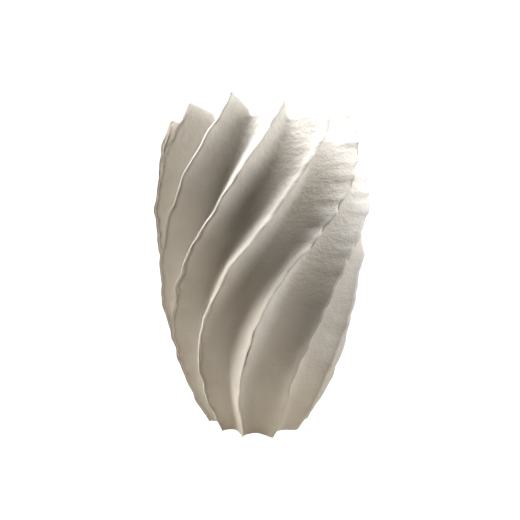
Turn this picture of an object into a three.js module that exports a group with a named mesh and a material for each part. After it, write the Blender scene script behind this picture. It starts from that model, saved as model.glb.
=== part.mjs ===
// Fluted vase, hand-built from separate pieces: a round floor slab, a hollow wall standing on
// it, and thirteen twisted leaves wrapped round the outside. Each leaf is one concave flute.
// Its right edge rises into a thin crest that laps a little over the next leaf, and its top
// ends in a rounded ear.
//
// Millimetres, +Z up, origin at the middle of the flat underside. Azimuth 0 is +X and grows
// anticlockwise seen from above. The leaves turn that way as they climb.

import * as THREE from 'three';

// ---- driving dimensions -------------------------------------------------------------------

const HEIGHT = 307;             // height of a usual ear
const RIM = 293;                // height of the rim between the ears
const STATIONS_TOP = 300;       // height of the last of the stations given below

// One entry a leaf: the azimuth of its crest at the foot, in degrees, and how far its ear
// stands above or below the usual height. Hand work makes both a little uneven.
const LEAVES = [
  [-130, -1], [-104, 3], [-74, 1], [-44, -2], [-16, 2], [12, 0], [40.5, -3],
  [69, 2], [97.5, -1], [125.5, 0], [151.5, 1], [178, 0], [204.5, -1],
];

const JOINT = 0.5;              // gap between pieces
const FLOOR_THICKNESS = 8;
const WALL_THICKNESS = 6;
const LEAF_FLOOR = 5;           // leaf thickness at the bottom of its flute
const FLUTE_SKEW = 0.85;        // below 1, a flute is deepest nearer to the crest before
const CREST_STEP = 5;           // how far a crest stands above the leaf it laps over
const CREST_LEAN = 0.08;        // how far a crest tip leans over that leaf, to the flute's depth
const EAR_INSIDE = 0.35;        // an ear reaches its height this far from the wall to the crest
const EAR_SHOULDER = 0.5;       // and rounds off beyond this
const EAR_DROP = 1.1;           // falling by this much of its rise at the outside

// Radius of the crests and depth of the flutes at stations an equal step of height apart.
const CREST_RADIUS = [54.5, 80, 96, 103.5, 108.5, 109, 99];
const FLUTE_DEPTH = [9, 16, 21, 26, 29, 29, 26];
// Turn of the leaves about the axis at the same stations, in degrees.
const TURN = [0, 1, 8.5, 22, 42.5, 60.5, 75.5];

const ROWS = 16;                // steps up a leaf
const COLUMNS = 6;              // steps across a leaf
const LAYERS = 4;               // steps through a leaf
const WALL_SIDES = 39;
const LEFT_SIDE = 1;            // a box's face groups start with its right and left sides

const PLASTER = 0xe9e4da;

// ---- the shape of the body ----------------------------------------------------------------

// A smooth curve through the values given at the stations, read at height z.
function overHeight(values) {
  const points = values.map((value, i) => new THREE.Vector3(i, value, 0));
  const curve = new THREE.CatmullRomCurve3(points, false, 'catmullrom', 0.5);
  return (z) => curve.getPoint(THREE.MathUtils.clamp(z / STATIONS_TOP, 0, 1)).y;
}

const crestRadius = overHeight(CREST_RADIUS);
const fluteDepth = overHeight(FLUTE_DEPTH);
const turn = overHeight(TURN);

const wallOuter = (z) => crestRadius(z) - fluteDepth(z) - LEAF_FLOOR;

// ---- leaves -------------------------------------------------------------------------------

// Outer radius of a leaf at height z; across runs from 0 at its left edge to 1 at its crest.
function leafOuter(z, across) {
  const hollow = Math.max(0, Math.sin(Math.PI * across ** FLUTE_SKEW)) ** 0.9;
  const step = CREST_STEP * (1 - across) ** 4;
  return crestRadius(z) - fluteDepth(z) * hollow - step * (1 - hollow);
}

// Height of a leaf's top; through runs from 0 at the wall to 1 at the outside. Its own ear
// rises towards its crest, and it backs the ear of the leaf before it on its left.
function leafTop(across, through, earBefore, ear) {
  const peak = Math.cos(Math.PI * across) ** 2;
  const inside = Math.max(0, 1 - through / EAR_INSIDE);
  const outside = Math.max(0, (through - EAR_SHOULDER) / (1 - EAR_SHOULDER));
  const lobe = 1 - inside ** 2 - EAR_DROP * (1 - Math.sqrt(1 - outside ** 3));
  const rise = HEIGHT - RIM + (across < 0.5 ? earBefore : ear);
  return RIM + rise * peak * lobe;
}

// Turns the diagonals of a box's left side round, so that they run as those of the right side
// of the next leaf do, and the two twisted sides keep an even gap.
function matchDiagonals(slab) {
  const { start, count } = slab.groups[LEFT_SIDE];
  for (let i = start; i < start + count; i += 6) {
    slab.index.setX(i + 2, slab.index.getX(i + 4));
    slab.index.setX(i + 3, slab.index.getX(i));
  }
}

// One leaf: a slab divided into a grid, whose corners are moved onto the twisted shape.
function leafGeometry([azimuthBefore, earBefore], [crestAzimuth, ear]) {
  const slab = new THREE.BoxGeometry(1, 1, 1, COLUMNS, LAYERS, ROWS);
  matchDiagonals(slab);
  const position = slab.attributes.position;
  for (let i = 0; i < position.count; i++) {
    const across = 0.5 - 0.5 * Math.cos(Math.PI * (position.getX(i) + 0.5));
    const through = 0.5 - position.getY(i);
    const z = (position.getZ(i) + 0.5) * leafTop(across, through, earBefore, ear);
    const inner = wallOuter(Math.min(z, RIM)) + JOINT;
    const radius = THREE.MathUtils.lerp(inner, leafOuter(z, across), through);
    const gap = JOINT * (0.5 - across);
    const reach = (radius - inner) / (crestRadius(z) - inner);
    const lean = CREST_LEAN * fluteDepth(z) * reach * (1 - Math.sin(Math.PI * across));
    const degrees = THREE.MathUtils.lerp(azimuthBefore, crestAzimuth, across) + turn(z);
    const azimuth = THREE.MathUtils.degToRad(degrees) + (gap + lean) / radius;
    position.setXYZ(i, radius * Math.cos(azimuth), radius * Math.sin(azimuth), z);
  }
  slab.computeVertexNormals();
  return slab;
}

// ---- wall and floor -----------------------------------------------------------------------

// The wall stands on the floor slab. Its rows are at the leaves' rows, so the two stay parallel.
function wallGeometry() {
  const heights = [FLOOR_THICKNESS + JOINT];
  for (let row = 1; row <= ROWS; row++) {
    heights.push((RIM * row) / ROWS);
  }
  const outside = heights.map((z) => new THREE.Vector2(wallOuter(z), z));
  const inside = heights.map((z) => new THREE.Vector2(wallOuter(z) - WALL_THICKNESS, z));
  const profile = [...outside, ...inside.reverse(), outside[0].clone()];
  return new THREE.LatheGeometry(profile, WALL_SIDES).rotateX(Math.PI / 2);
}

function floorGeometry() {
  const profile = [
    new THREE.Vector2(0, 0),
    new THREE.Vector2(wallOuter(0), 0),
    new THREE.Vector2(wallOuter(FLOOR_THICKNESS), FLOOR_THICKNESS),
    new THREE.Vector2(0, FLOOR_THICKNESS),
  ];
  return new THREE.LatheGeometry(profile, WALL_SIDES).rotateX(Math.PI / 2);
}

// ---- assembly -----------------------------------------------------------------------------

const vase = new THREE.Group();

function add(name, geometry) {
  const material = new THREE.MeshStandardMaterial({ color: PLASTER, roughness: 0.92, metalness: 0 });
  const mesh = new THREE.Mesh(geometry, material);
  mesh.name = name;
  vase.add(mesh);
}

add('floor_disc', floorGeometry());
add('vessel_wall', wallGeometry());
LEAVES.forEach((leaf, i) => {
  const [lastAzimuth, lastEar] = LEAVES[LEAVES.length - 1];
  const before = i > 0 ? LEAVES[i - 1] : [lastAzimuth - 360, lastEar];
  add(`leaf_${String(i + 1).padStart(2, '0')}`, leafGeometry(before, leaf));
});

export default vase;
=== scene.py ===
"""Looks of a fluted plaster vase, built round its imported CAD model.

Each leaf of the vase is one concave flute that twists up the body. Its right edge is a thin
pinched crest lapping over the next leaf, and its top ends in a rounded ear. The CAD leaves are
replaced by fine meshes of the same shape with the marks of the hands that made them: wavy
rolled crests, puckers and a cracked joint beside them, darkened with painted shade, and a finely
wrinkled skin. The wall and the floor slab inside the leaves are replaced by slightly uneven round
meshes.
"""

import math

import bpy
import numpy as np
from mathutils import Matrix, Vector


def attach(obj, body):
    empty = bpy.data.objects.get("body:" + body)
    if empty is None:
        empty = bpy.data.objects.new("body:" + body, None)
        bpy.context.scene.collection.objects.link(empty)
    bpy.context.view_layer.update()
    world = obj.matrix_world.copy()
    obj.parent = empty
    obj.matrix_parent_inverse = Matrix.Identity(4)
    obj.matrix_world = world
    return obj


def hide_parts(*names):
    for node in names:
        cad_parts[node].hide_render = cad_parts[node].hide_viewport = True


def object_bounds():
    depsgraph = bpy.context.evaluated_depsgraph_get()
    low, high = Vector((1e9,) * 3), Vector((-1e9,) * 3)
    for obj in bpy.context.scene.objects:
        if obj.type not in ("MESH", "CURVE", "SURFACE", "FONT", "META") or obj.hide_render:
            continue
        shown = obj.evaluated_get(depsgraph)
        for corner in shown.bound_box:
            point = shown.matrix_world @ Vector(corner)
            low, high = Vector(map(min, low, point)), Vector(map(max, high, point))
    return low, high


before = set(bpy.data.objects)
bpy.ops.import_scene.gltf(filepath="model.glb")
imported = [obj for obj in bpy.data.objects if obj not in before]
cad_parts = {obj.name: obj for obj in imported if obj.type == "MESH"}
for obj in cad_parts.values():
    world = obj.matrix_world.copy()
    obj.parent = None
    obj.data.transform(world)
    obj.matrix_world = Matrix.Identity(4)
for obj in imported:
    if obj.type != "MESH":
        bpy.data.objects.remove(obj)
cad_low, cad_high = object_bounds()

MM = 0.001

# ---- the CAD model's driving dimensions, in millimetres and degrees -----------------------------

HEIGHT = 307.0
RIM = 293.0
STATIONS_TOP = 300.0
# One entry a leaf: the azimuth of its crest at the foot, and how its ear differs in height.
LEAVES = [
    (-130, -1), (-104, 3), (-74, 1), (-44, -2), (-16, 2), (12, 0), (40.5, -3),
    (69, 2), (97.5, -1), (125.5, 0), (151.5, 1), (178, 0), (204.5, -1),
]
WALL_THICKNESS = 6.0
FLOOR_THICKNESS = 8.0
LEAF_FLOOR = 5.0          # leaf thickness at the bottom of its flute
FLUTE_SKEW = 0.85         # below 1, a flute is deepest nearer to the crest before
FLUTE_FULLNESS = 0.9      # below 1, a flute's hollow is rounder than a sine
CREST_LEAN = 0.08         # of a crest tip over the next leaf, to the flute's depth
EAR_INSIDE = 0.35         # an ear reaches its height this far from the wall to the crest,
EAR_SHOULDER = 0.5        # rounds off beyond this,
EAR_DROP = 1.1            # and falls by this much of its rise at the outside
# At stations an equal step of height apart, up to STATIONS_TOP.
CREST_RADIUS = [54.5, 80, 96, 103.5, 108.5, 109, 99]
FLUTE_DEPTH = [9, 16, 21, 26, 29, 29, 26]
TURN = [0, 1, 8.5, 22, 42.5, 60.5, 75.5]

# ---- what the fine meshes add, in millimetres ---------------------------------------------------

SEAM = 0.1                # gap between the leaves, which lips and wrinkles bridge in places
# How much each crest was worked by fingers, one entry a leaf: a thin clean lip at 0, a dented
# and cracked one at 1.
WORKED = [0.45, 1.0, 0.8, 0.6, 0.3, 0.6, 0.4, 0.8, 0.5, 0.3, 0.15, 0.15, 0.35]
CREST_STEP = 8.0          # drop from a fully worked crest to the leaf under it
STEP_FADE = 4.5           # how fast that drop fades across the leaf
THIN_ROLL = 0.8           # width of the rounded band along a thin crest
BROAD_ROLL = 0.9          # and along a fully worked one
FLARE = 3.0               # how far a fully worked crest curls outwards beyond its flute
FLARE_REACH = 1.6         # from the crest
LIP_OVERHANG = 2.4        # how far a thin crest's lip hangs over the next leaf
LIP_HEIGHT = 2.2          # down from the crest's tip
CREST_SEED = 100
PINCH_COUNT = 40          # more than fit along a crest
PINCH_SPACING = 21.0
PINCH_WIDTH = 5.0
PINCH_DEPTH = 1.8
GROOVE = 9.0              # depth of the narrow crack where a leaf dives under the crest before
GROOVE_WIDTH = 1.1
PUCKER_DEPTH = 1.5        # of the dents on a leaf, right beside the crest before
PUCKER_WIDTH = 4.0        # along the crest and across the leaf
PUCKER_SPREAD = 0.12      # share of their depth that reaches further across the leaf
PUCKER_REACH = 12.0
DENT_DEPTH = 0.9          # of the finger dents on a leaf's own side of its crest
DENT_LENGTH = 4.5
DENT_WIDTH = 4.0
DENT_PLACE = 5.0          # from the crest
WANDER = 2.0              # sideways wander of a crest
SWELL = 0.8               # slow unevenness of a flute
FOOT_BEVEL = 0.5          # how far the bottom edge draws in
FOOT_BEVEL_HEIGHT = 1.5
WALL_WAVER = 0.3          # unevenness of the wall and the floor slab
WRINKLE = 0.38            # height of the fine wrinkles
PAINTED_SHADE_WIDTH = 2.3       # of the painted shade in the joint beside a crest, where the lip's shadow falls
PAINTED_SHADE_TONE = 0.5        # of the painted shade, against the clean plaster

COLUMNS = 64              # steps across a leaf
CROWDING = 0.75           # how much narrower they are towards its edges
LAYERS = 14               # steps through a leaf
ROWS = 320                # steps up a leaf
WALL_SIDES = 208
WALL_ROWS = 150
DISC_RINGS = 12


# ---- camera, floor and light, in metres and degrees ---------------------------------------------

CAMERA_DISTANCE = 0.3588
CAMERA_HEIGHT = 0.1646
CAMERA_ROLL = -0.96
CAMERA_PITCH = 90.35
SENSOR = 36.0             # millimetres
LENS = 22.55              # millimetres
TABLE_RADIUS = 0.3
TABLE_COLOUR = (0.36, 0.34, 0.31)
TABLE_GLOW = (0.29, 0.256, 0.208)
FILL = (0.012, 0.009, 0.007)
WHITE = (1, 1, 1)


def make_camera():
    """A nearly level view from the front, from a little above the middle of the vase."""
    data = bpy.data.cameras.new("camera")
    data.sensor_width = SENSOR
    data.lens = LENS
    data.clip_start = 0.01
    camera = bpy.data.objects.new("camera", data)
    camera.location = (0, -CAMERA_DISTANCE, CAMERA_HEIGHT)
    camera.rotation_euler = (math.radians(CAMERA_PITCH), math.radians(CAMERA_ROLL), 0)
    bpy.context.collection.objects.link(camera)
    bpy.context.scene.camera = camera


def white_but_casting(tree, colour):
    """A colour socket: white to the camera, and the given colour as light on the vase."""
    path = tree.nodes.new("ShaderNodeLightPath")
    mix = tree.nodes.new("ShaderNodeMix")
    mix.data_type = "RGBA"
    mix.inputs["A"].default_value = (*colour, 1)
    mix.inputs["B"].default_value = (*WHITE, 1)
    tree.links.new(path.outputs["Is Camera Ray"], mix.inputs["Factor"])
    return mix.outputs["Result"]


def make_floor():
    """A round table, white to the camera, that throws warm light up and is clear from below."""
    bpy.ops.mesh.primitive_circle_add(
        vertices=96, radius=TABLE_RADIUS, fill_type="NGON", location=(0, 0, cad_low.z)
    )
    floor = bpy.context.object
    floor.name = "floor"
    material = bpy.data.materials.new("floor")
    material.use_nodes = True
    tree = material.node_tree
    shader = tree.nodes["Principled BSDF"]
    shader.inputs["Base Color"].default_value = (*TABLE_COLOUR, 1)
    shader.inputs["Roughness"].default_value = 0.9
    shader.inputs["Emission Strength"].default_value = 1
    tree.links.new(white_but_casting(tree, TABLE_GLOW), shader.inputs["Emission Color"])
    clear = tree.nodes.new("ShaderNodeBsdfTransparent")
    side = tree.nodes.new("ShaderNodeNewGeometry")
    mix = tree.nodes.new("ShaderNodeMixShader")
    tree.links.new(side.outputs["Backfacing"], mix.inputs[0])
    tree.links.new(shader.outputs["BSDF"], mix.inputs[1])
    tree.links.new(clear.outputs["BSDF"], mix.inputs[2])
    tree.links.new(mix.outputs["Shader"], tree.nodes["Material Output"].inputs["Surface"])
    floor.data.materials.append(material)


def make_light(name, place, aim, size, watts, colour=WHITE):
    """A round soft lamp at a place, turned towards its aim."""
    data = bpy.data.lights.new(name, "AREA")
    data.shape = "DISK"
    data.size = size
    data.energy = watts
    data.color = colour
    lamp = bpy.data.objects.new(name, data)
    lamp.location = place
    direction = Vector(aim) - Vector(place)
    lamp.rotation_euler = direction.to_track_quat("-Z", "Y").to_euler()
    bpy.context.collection.objects.link(lamp)


def make_world():
    """White to the camera, and a dim warm fill on the vase."""
    world = bpy.data.worlds.new("studio")
    bpy.context.scene.world = world
    world.use_nodes = True
    tree = world.node_tree
    tree.links.new(white_but_casting(tree, FILL), tree.nodes["Background"].inputs["Color"])


def make_lights():
    """A soft lamp above the mouth, one on either side, and a warm one low on the left."""
    upper_body = (0, 0, 0.2)
    lower_body = (0, 0, 0.12)
    make_light("top", (-0.03, -0.02, 0.72), upper_body, 0.5, 5.6)
    make_light("right", (0.65, -0.25, 0.45), upper_body, 0.4, 3.1)
    make_light("left", (-0.5, -0.2, 0.6), upper_body, 0.4, 1.9)
    make_light("low", (-0.7, -0.15, 0.12), lower_body, 0.4, 2.0, (1, 0.95, 0.88))


# ---- noise --------------------------------------------------------------------------------------

NOISE_SEED = 11
NOISE_SIZE = 4096
NOISE_TABLE = np.random.default_rng(NOISE_SEED).random(NOISE_SIZE) * 2 - 1


def lattice(ix, iy, iz):
    """The random value kept for a lattice point."""
    return NOISE_TABLE[(ix * 1619 + iy * 31337 + iz * 6971) % NOISE_SIZE]


def noise(x, y, z):
    """Smooth noise between -1 and 1 that changes over a length of about 1."""
    x, y, z = np.broadcast_arrays(x, y, z)
    ix, iy, iz = (np.floor(v).astype(int) for v in (x, y, z))
    u, v, w = (t * t * (3 - 2 * t) for t in (x - ix, y - iy, z - iz))
    total = 0
    for dx, wx in ((0, 1 - u), (1, u)):
        for dy, wy in ((0, 1 - v), (1, v)):
            for dz, wz in ((0, 1 - w), (1, w)):
                total = total + wx * wy * wz * lattice(ix + dx, iy + dy, iz + dz)
    return total


def smooth_step(low, high, value):
    """Rises smoothly from 0 at low to 1 at high; low may be the larger."""
    t = np.clip((value - low) / (high - low), 0, 1)
    return t * t * (3 - 2 * t)


def bell(distance, width):
    """1 at no distance, fading smoothly to 0 over about twice the width."""
    return np.exp(-((distance / width) ** 2))


# ---- the shape of the body ----------------------------------------------------------------------


def over_height(values):
    """A smooth curve through values given at equal steps of height, as a function of height."""
    values = np.array(values, float)
    ends = np.concatenate([[2 * values[0] - values[1]], values, [2 * values[-1] - values[-2]]])

    def at(z):
        place = np.clip(z / STATIONS_TOP, 0, 1) * (len(values) - 1)
        i = np.minimum(np.asarray(place).astype(int), len(values) - 2)
        t = place - i
        a, b, c, d = (ends[i + k] for k in range(4))
        bend = (2 * a - 5 * b + 4 * c - d) + t * (3 * (b - c) + d - a)
        return b + 0.5 * t * ((c - a) + t * bend)

    return at


crest_radius = over_height(CREST_RADIUS)
flute_depth = over_height(FLUTE_DEPTH)
turn = over_height(TURN)


def wall_outer(z):
    """Outer radius of the wall behind the leaves."""
    return crest_radius(z) - flute_depth(z) - LEAF_FLOOR


# ---- crests -------------------------------------------------------------------------------------

STEPS = np.arange(0, HEIGHT + 10)


def arc_lengths():
    """Length along a crest from the foot up to each of STEPS."""
    radius = crest_radius(STEPS)
    round_axis = radius * np.radians(np.gradient(turn(STEPS)))
    along = np.hypot(1, np.hypot(np.gradient(radius), round_axis))
    return np.concatenate([[0], np.cumsum(along)[:-1]])


ARC = arc_lengths()


def arc_length(z):
    """Length along a crest from the foot up to height z."""
    return np.interp(z, STEPS, ARC)


class Crest:
    """The hand-made unevenness of one crest, shared by the leaf it belongs to and the next."""

    def __init__(self, number):
        self.number = number
        self.worked = WORKED[number]
        chance = np.random.default_rng(CREST_SEED + number)
        gaps = PINCH_SPACING * chance.uniform(0.65, 1.35, PINCH_COUNT)
        self.places = np.cumsum(gaps) - PINCH_SPACING * chance.random()
        self.strengths = chance.uniform(0.35, 1, PINCH_COUNT)

    def press(self, z, width):
        """How strongly the fingers pressed at height z, from 0 to about 1."""
        arc = arc_length(z)
        total = np.zeros_like(arc)
        for place, strength in zip(self.places, self.strengths):
            total += strength * bell(arc - place, width)
        return total * (0.35 + 0.65 * smooth_step(0, 90, z))

    def roll(self, z):
        """Width of the rounded band along the crest."""
        share = self.worked * (0.6 + 0.5 * noise(arc_length(z) / 45, self.number, 8.5))
        return THIN_ROLL + (BROAD_ROLL - THIN_ROLL) * share

    def crack(self, z):
        """How open the crack beside the crest is, from 0 to about 1.3."""
        open_share = np.clip(0.75 + 1.1 * noise(arc_length(z) / 11, self.number, 4.5), 0.15, 1.3)
        return max(0, 1.3 * self.worked - 0.3) * open_share

    def rise(self, z):
        """How far out the crest is pulled, or pressed in where it is negative."""
        arc = arc_length(z)
        pull = 0.6 + 2.2 * noise(arc / 13, self.number, 1.5)
        pull += self.worked * 0.5 * noise(arc / 5, self.number, 3.5)
        pull -= PINCH_DEPTH * self.worked * self.press(z, PINCH_WIDTH)
        return pull * (0.3 + 0.7 * smooth_step(0, 60, z))

    def wander(self, z):
        """How far the crest strays sideways."""
        arc = arc_length(z)
        sway = noise(arc / 26, self.number, 5.5) + 0.55 * noise(arc / 10, self.number, 6.5)
        return WANDER * sway * (0.3 + 0.7 * self.worked)


CRESTS = [Crest(number) for number in range(len(LEAVES))]


# ---- meshes -------------------------------------------------------------------------------------


def box_grid(columns, layers, rows):
    """The closed surface of a box as a grid: corner places from 0 to 1, and its faces."""
    index = {}

    def corner(*key):
        return index.setdefault(key, len(index))

    faces = []

    def side(place, across, up, flip):
        for a in range(across):
            for b in range(up):
                quad = [place(a, b), place(a + 1, b), place(a + 1, b + 1), place(a, b + 1)]
                corners = [corner(*key) for key in quad]
                faces.append(corners[::-1] if flip else corners)

    side(lambda a, b: (a, 0, b), columns, rows, False)
    side(lambda a, b: (a, layers, b), columns, rows, True)
    side(lambda a, b: (0, a, b), layers, rows, True)
    side(lambda a, b: (columns, a, b), layers, rows, False)
    side(lambda a, b: (a, b, 0), columns, layers, True)
    side(lambda a, b: (a, b, rows), columns, layers, False)
    places = np.array(list(index), float) / (columns, layers, rows)
    return places, np.array(faces)


def vertex_normals(vertices, faces):
    """A unit normal at each vertex of a mesh of four-sided faces."""
    a, b, c, d = (vertices[faces[:, k]] for k in range(4))
    across = np.cross(c - a, d - b)
    normals = np.zeros_like(vertices)
    for k in range(4):
        np.add.at(normals, faces[:, k], across)
    return normals / np.maximum(np.linalg.norm(normals, axis=1, keepdims=True), 1e-12)


def mesh_piece(name, vertices, faces, material, node):
    """A smooth piece from vertices in millimetres, standing for a CAD node."""
    mesh = bpy.data.meshes.new(name)
    mesh.from_pydata((vertices * MM).tolist(), [], [list(face) for face in faces])
    mesh.shade_smooth()
    mesh.materials.append(material)
    piece = bpy.data.objects.new(name, mesh)
    bpy.context.collection.objects.link(piece)
    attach(piece, "root")
    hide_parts(node)
    return piece


# ---- leaves -------------------------------------------------------------------------------------

GRID, GRID_FACES = box_grid(COLUMNS, LAYERS, ROWS)


def ear_height(across, through, rise_before, rise):
    """How far a leaf's top stands above the rim: its own ear, and its share of the ear before."""
    peak = np.cos(np.pi * across) ** 2
    inside = np.maximum(0, 1 - through / EAR_INSIDE)
    outside = np.maximum(0, (through - EAR_SHOULDER) / (1 - EAR_SHOULDER))
    lobe = 1 - inside**2 - EAR_DROP * (1 - np.sqrt(1 - outside**3))
    usual = HEIGHT - RIM
    return (usual + np.where(across < 0.5, rise_before, rise)) * peak * lobe


def flare_of(crest, z):
    """How far a crest curls outwards at height z."""
    return FLARE * (0.25 + 0.75 * crest.worked) * smooth_step(0, 30, z)


def joint_depth(left, z, across, to_left):
    """How far a leaf draws back beside the crest before: a step down, a crack and puckers."""
    step = CREST_STEP * left.worked**2 * flute_depth(z) / max(FLUTE_DEPTH)
    groove_width = GROOVE_WIDTH * (1.3 + 1.7 * smooth_step(60, 200, z))
    groove = GROOVE * left.crack(z) * smooth_step(45, 90, z) * bell(to_left, groove_width)
    pucker = PUCKER_DEPTH * (0.5 + 0.5 * left.worked) * left.press(z, PUCKER_WIDTH)
    near = bell(to_left, PUCKER_WIDTH)
    far = PUCKER_SPREAD * np.exp(-to_left / PUCKER_REACH)
    return step * np.exp(-STEP_FADE * across) + groove + pucker * (near + far)


def leaf_outer(left, right, z, across, to_left, to_right, hollow):
    """Radius of a leaf's visible face."""
    outer = crest_radius(z) - flute_depth(z) * hollow
    outer += flare_of(right, z) * np.exp(-to_right / FLARE_REACH)
    outer -= joint_depth(left, z, across, to_left)
    rise_left = left.rise(z) * smooth_step(0.25, 0, across)
    rise_right = right.rise(z) * smooth_step(0.78, 1, across)
    outer += rise_left + rise_right
    dent = DENT_DEPTH * right.worked * right.press(z, DENT_LENGTH)
    outer -= dent * bell(to_right - DENT_PLACE, DENT_WIDTH)
    outer += SWELL * hollow * noise(z / 34, across * 2, right.number + 0.5)
    outer -= FOOT_BEVEL * np.clip(1 - z / FOOT_BEVEL_HEIGHT, 0, 1) ** 2
    return outer


def sideways(left, right, z, across, to_right, radius, reach):
    """How far a leaf's vertices shift sideways: by the lean, lip and wander of its crests."""
    lip = smooth_step(-LIP_HEIGHT, 0, radius - crest_radius(z) - flare_of(right, z) - right.rise(z))
    overhang = LIP_OVERHANG * (1.1 - 0.65 * right.worked) * lip
    shift = SEAM * (0.5 - across)
    shift += CREST_LEAN * flute_depth(z) * reach * (1 - np.sin(np.pi * across))
    shift += overhang * bell(to_right, right.roll(z))
    from_left = left.wander(z) * smooth_step(0.6, 0, across)
    from_right = right.wander(z) * smooth_step(0.4, 1, across)
    shift += (from_left + from_right) * reach
    return shift


def leaf_shape(number):
    """A leaf's vertices before it is wrinkled, how freely each may be wrinkled, and the painted
    shade in its joint.
    """
    azimuth_before, rise_before = LEAVES[number - 1]
    crest_azimuth, rise = LEAVES[number]
    if number == 0:
        azimuth_before -= 360
    left, right = CRESTS[number - 1], CRESTS[number]

    u = GRID[:, 0]
    across = u - CROWDING * np.sin(2 * np.pi * u) / (2 * np.pi)
    through = 1 - GRID[:, 1]
    z = GRID[:, 2] * (RIM + ear_height(across, through, rise_before, rise))
    width = np.radians(crest_azimuth - azimuth_before) * crest_radius(z)
    to_left, to_right = across * width, (1 - across) * width

    hollow = np.maximum(0, np.sin(np.pi * across**FLUTE_SKEW)) ** FLUTE_FULLNESS
    hollow = hollow * (1 - bell(to_right, right.roll(z)))
    outer = leaf_outer(left, right, z, across, to_left, to_right, hollow)
    inner = wall_outer(np.minimum(z, RIM)) + SEAM
    radius = inner + (outer - inner) * through
    reach = (radius - inner) / (crest_radius(z) - inner)
    shift = sideways(left, right, z, across, to_right, radius, reach)

    degrees = azimuth_before + (crest_azimuth - azimuth_before) * across + turn(z)
    azimuth = np.radians(degrees) + shift / radius
    vertices = np.column_stack([radius * np.cos(azimuth), radius * np.sin(azimuth), z])
    mask = smooth_step(0.6, 1, through) * (0.35 + 0.65 * smooth_step(0, 6, to_right))

    # Painted shade: the colour darkens in the joint beside the crest before, where the lip casts
    # its shadow, and more so higher up.
    beside = np.hypot(to_left, flute_depth(z) * hollow)
    painted_joint_shade = bell(beside, PAINTED_SHADE_WIDTH) * smooth_step(303, 285, z)
    painted_joint_shade *= 0.2 + 0.8 * smooth_step(80, 220, z)
    return vertices, mask, painted_joint_shade


def wrinkled(vertices, faces, mask):
    """The vertices pushed along their normals by a leathery wrinkle, stronger higher up."""
    x, y, z = vertices.T
    # The divisors are the sizes of the wrinkles, and the added numbers keep the patterns apart.
    grain = noise(x / 2.2, y / 2.2, z / 2.2)
    crease = 1 - 2 * np.abs(noise(x / 4.5, y / 4.5, z / 4.5 + 40))
    fold = noise(x / 10, y / 10, z / 8 + 80)
    height = WRINKLE * (0.45 * grain + 0.45 * crease + 0.35 * fold)
    height *= 0.45 + 0.55 * smooth_step(60, 180, z)
    moved = vertices + vertex_normals(vertices, faces) * (height * mask)[:, None]
    moved[:, 2] = np.maximum(moved[:, 2], 0)
    return moved


def make_leaves(material):
    """One fine mesh a leaf, with the painted shade of its joint as a mesh attribute that the
    material reads.
    """
    for number in range(len(LEAVES)):
        node = f"leaf_{number + 1:02d}"
        vertices, mask, painted_joint_shade = leaf_shape(number)
        vertices = wrinkled(vertices, GRID_FACES, mask)
        piece = mesh_piece(f"fine_{node}", vertices, GRID_FACES, material, node)
        # The painted shade of the joint, kept on the mesh for the material.
        attribute = piece.data.attributes.new("painted_joint_shade", "FLOAT", "POINT")
        attribute.data.foreach_set("value", painted_joint_shade.astype(np.float32))


# ---- the round vessel inside the leaves ---------------------------------------------------------


def turned(name, profile, material, node):
    """A round piece from (radius, height) pairs.

    The profile is a closed loop, or runs from pole to pole where it starts at a radius of 0.
    """
    profile = np.array(profile)
    poles = profile[0, 0] == 0
    rings = profile[1:-1] if poles else profile
    angles = np.arange(WALL_SIDES) * 2 * np.pi / WALL_SIDES
    radius, z = rings[:, :1], np.repeat(rings[:, 1:], WALL_SIDES, axis=1)
    x, y = np.cos(angles), np.sin(angles)
    radius = radius + WALL_WAVER * noise(x * 2.5, y * 2.5, z / 22) - WALL_WAVER
    vertices = np.stack([radius * x, radius * y, z], axis=2).reshape(-1, 3)

    def corner(ring, side):
        return ring % len(rings) * WALL_SIDES + side % WALL_SIDES

    faces = []
    for ring in range(len(rings) - poles):
        for side in range(WALL_SIDES):
            near, far = corner(ring, side), corner(ring, side + 1)
            faces.append([near, far, corner(ring + 1, side + 1), corner(ring + 1, side)])
    if poles:
        low, high = len(vertices), len(vertices) + 1
        vertices = np.concatenate([vertices, [(0, 0, profile[0, 1]), (0, 0, profile[-1, 1])]])
        for side in range(WALL_SIDES):
            faces.append([low, corner(0, side + 1), corner(0, side)])
            faces.append([high, corner(-1, side), corner(-1, side + 1)])
    return mesh_piece(name, vertices, faces, material, node)


def make_wall(material):
    """The hollow wall, with a rounded rim."""
    half = WALL_THICKNESS / 2
    heights = np.linspace(FLOOR_THICKNESS + SEAM, RIM - half, WALL_ROWS)
    turns = np.radians(np.arange(15, 180, 15))
    middle = wall_outer(RIM - half) - half
    rim = [(middle + half * math.cos(a), RIM - half + half * math.sin(a)) for a in turns]
    outside = [(wall_outer(z), z) for z in heights]
    inside = [(wall_outer(z) - WALL_THICKNESS, z) for z in heights[::-1]]
    piece = turned("fine_vessel_wall", outside + rim + inside, material, "vessel_wall")


def make_disc(material):
    """The floor slab, with a rounded edge underneath."""
    edge = 1.2
    foot = [
        (wall_outer(0) - edge * (1 - math.sin(a)), edge * (1 - math.cos(a)))
        for a in np.radians(np.arange(0, 91, 15))
    ]
    side = [(wall_outer(z), z) for z in np.linspace(2, FLOOR_THICKNESS, 6)]
    under_radii = np.linspace(0, wall_outer(0) - 2 * edge, DISC_RINGS)
    under = [(radius, 0) for radius in under_radii]
    above_radii = np.linspace(wall_outer(FLOOR_THICKNESS) - 1, 0, DISC_RINGS)
    above = [(radius, FLOOR_THICKNESS) for radius in above_radii]
    piece = turned("fine_floor_disc", under + foot + side + above, material, "floor_disc")


# ---- materials ----------------------------------------------------------------------------------


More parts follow.
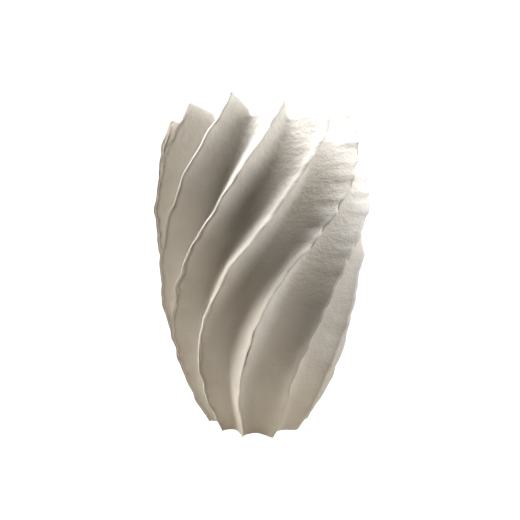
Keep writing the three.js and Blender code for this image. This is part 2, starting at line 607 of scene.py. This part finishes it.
def plaster(name, colour):
    """Matt plaster: faint mottling, uneven roughness, a fine grain, and painted shade in the
    joints.
    """
    material = bpy.data.materials.new(name)
    material.use_nodes = True
    nodes, links = material.node_tree.nodes, material.node_tree.links
    shader = nodes["Principled BSDF"]
    shader.inputs["Specular IOR Level"].default_value = 0.25
    where = nodes.new("ShaderNodeTexCoord").outputs["Object"]

    def pattern(scale, detail, roughness=0.5):
        """Fractal noise, mostly between 0.3 and 0.7."""
        node = nodes.new("ShaderNodeTexNoise")
        node.inputs["Scale"].default_value = scale
        node.inputs["Detail"].default_value = detail
        node.inputs["Roughness"].default_value = roughness
        links.new(where, node.inputs["Vector"])
        return node.outputs["Fac"]

    def spread(value, low, high, start=0.3, end=0.7):
        """Runs from low to high while the value runs from start to end."""
        node = nodes.new("ShaderNodeMapRange")
        node.inputs["From Min"].default_value = start
        node.inputs["From Max"].default_value = end
        node.inputs["To Min"].default_value = low
        node.inputs["To Max"].default_value = high
        links.new(value, node.inputs["Value"])
        return node.outputs["Result"]

    tint = nodes.new("ShaderNodeHueSaturation")
    tint.inputs["Color"].default_value = (*colour, 1)
    # Painted shade: the base colour darkens along the joint beside each crest, where the lip casts
    # its shadow.
    painted_joint_shade = nodes.new("ShaderNodeAttribute")
    painted_joint_shade.attribute_name = "painted_joint_shade"
    tone = nodes.new("ShaderNodeMath")
    tone.operation = "MULTIPLY"
    links.new(spread(painted_joint_shade.outputs["Fac"], 1, PAINTED_SHADE_TONE, 0, 1), tone.inputs[0])
    links.new(spread(pattern(35, 4), 0.96, 1.03), tone.inputs[1])
    links.new(tone.outputs["Value"], tint.inputs["Value"])
    links.new(spread(pattern(14, 2), 0.85, 1.2), tint.inputs["Saturation"])
    links.new(tint.outputs["Color"], shader.inputs["Base Color"])
    links.new(spread(pattern(120, 3), 0.82, 0.95), shader.inputs["Roughness"])

    bump = nodes.new("ShaderNodeBump")
    bump.inputs["Strength"].default_value = 0.8
    bump.inputs["Distance"].default_value = 0.0008
    links.new(pattern(450, 6, 0.6), bump.inputs["Height"])
    links.new(bump.outputs["Normal"], shader.inputs["Normal"])
    return material


# ---- assembly -----------------------------------------------------------------------------------

make_camera()
make_floor()
make_world()
make_lights()
bpy.context.scene.view_settings.view_transform = "Standard"
bpy.context.scene.view_settings.look = "Medium High Contrast"

make_leaves(plaster("plaster_leaf", (0.80, 0.77, 0.72)))
make_wall(plaster("plaster_wall", (0.77, 0.74, 0.69)))
make_disc(plaster("plaster_floor", (0.75, 0.72, 0.67)))
